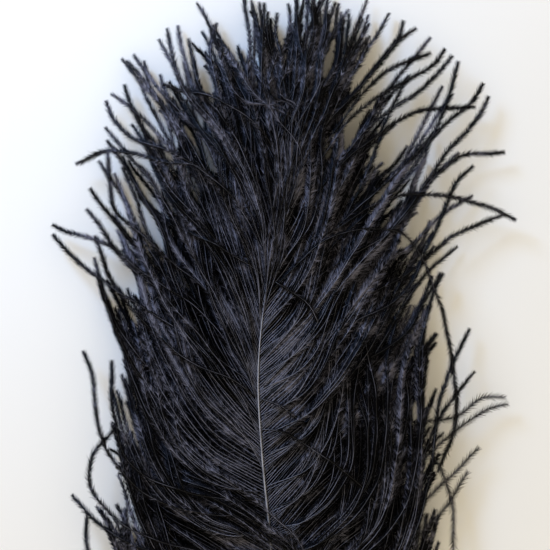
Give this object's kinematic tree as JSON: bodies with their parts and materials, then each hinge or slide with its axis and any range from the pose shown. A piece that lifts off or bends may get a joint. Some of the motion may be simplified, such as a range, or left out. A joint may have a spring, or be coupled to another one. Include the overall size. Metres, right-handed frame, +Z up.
{
  "type": "ostrich feather",
  "caption": "Long black ostrich plume lying flat, with a thin tapering shaft and two broad vanes of loose, drooping, fringed barbs.",
  "frame": {"origin": "on the surface the feather lies on, under the middle of its length and width", "axes": "+Y from the quill end to the tip, +Z up from the surface, +X to the right of the tip as seen from above"},
  "size_m": [0.23, 0.5, 0.03],
  "materials": {
    "shaft_horn": "dyed horn, semi-gloss",
    "barbs": "dyed black keratin fibres with a soft cool sheen"
  },
  "bodies": {
    "root": {"shaft": "shaft_horn", "left_vane": "barbs", "right_vane": "barbs"}
  },
  "joints": []
}
